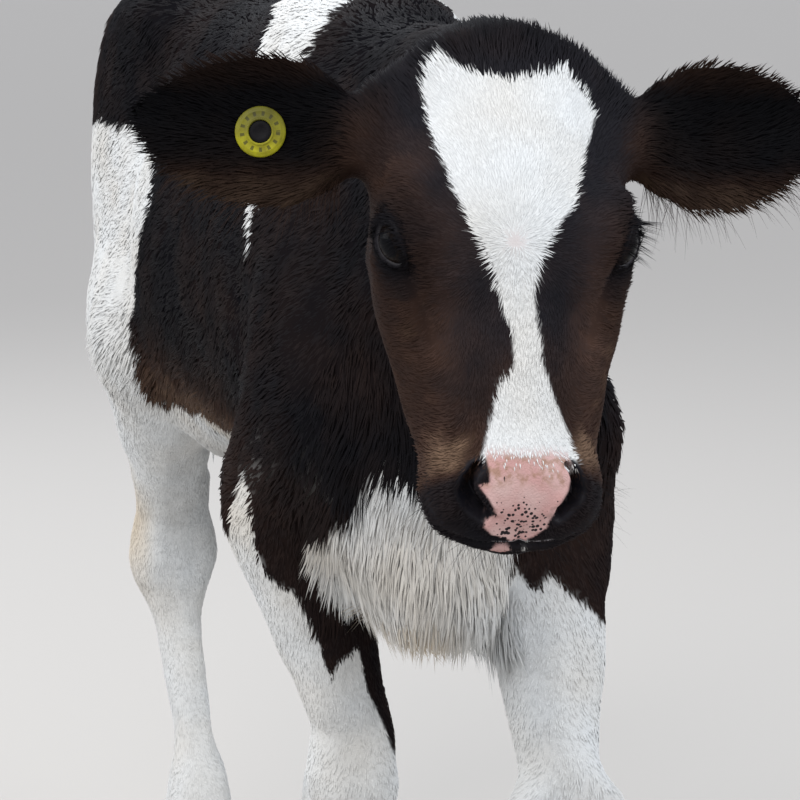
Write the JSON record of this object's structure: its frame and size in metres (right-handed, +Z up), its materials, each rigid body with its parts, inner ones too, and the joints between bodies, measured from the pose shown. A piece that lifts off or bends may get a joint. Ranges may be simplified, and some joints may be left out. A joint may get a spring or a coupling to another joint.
{
  "type": "calf",
  "caption": "Life-size standing dairy calf with a black and white coat, head lowered, one foreleg stepped forward, round ear tag in one ear.",
  "frame": {"origin": "centre of the outer box, on the floor", "axes": "-Y towards the face, +Z up, +X to the calf's left"},
  "size_m": [0.4064, 1.2118, 0.8912],
  "materials": {
    "coat_black": "short black hair",
    "coat_brown": "short brown-black hair, bare skin at the nose",
    "coat_white": "short white hair",
    "horn": "worn horn",
    "eye": "wet",
    "tag_yellow": "moulded, satin",
    "tag_black": "moulded, satin"
  },
  "bodies": {
    "root": {"lower_jaw": "coat_black", "head": "coat_brown", "eye_left": "eye", "eye_right": "eye", "ear_left": "coat_brown", "ear_right": "coat_brown", "tag_ring": "tag_yellow", "tag_stud": "tag_black", "tag_disc": "tag_yellow", "trunk": "coat_black", "neck": "coat_black", "foreleg_left_upper": "coat_white", "foreleg_left_lower": "coat_white", "hindleg_left_upper": "coat_white", "hindleg_left_lower": "coat_white", "dewclaw_fore_left_outer": "horn", "dewclaw_fore_left_inner": "horn", "dewclaw_hind_left_outer": "horn", "dewclaw_hind_left_inner": "horn", "foreleg_right_upper": "coat_white", "foreleg_right_lower": "coat_white", "hindleg_right_upper": "coat_white", "hindleg_right_lower": "coat_white", "dewclaw_fore_right_outer": "horn", "dewclaw_fore_right_inner": "horn", "dewclaw_hind_right_outer": "horn", "dewclaw_hind_right_inner": "horn", "hoof_fore_left_outer": "horn", "hoof_fore_left_inner": "horn", "hoof_hind_left_outer": "horn", "hoof_hind_left_inner": "horn", "hoof_fore_right_outer": "horn", "hoof_fore_right_inner": "horn", "hoof_hind_right_outer": "horn", "hoof_hind_right_inner": "horn", "tail": "coat_white", "tail_switch": "coat_white"}
  },
  "joints": []
}
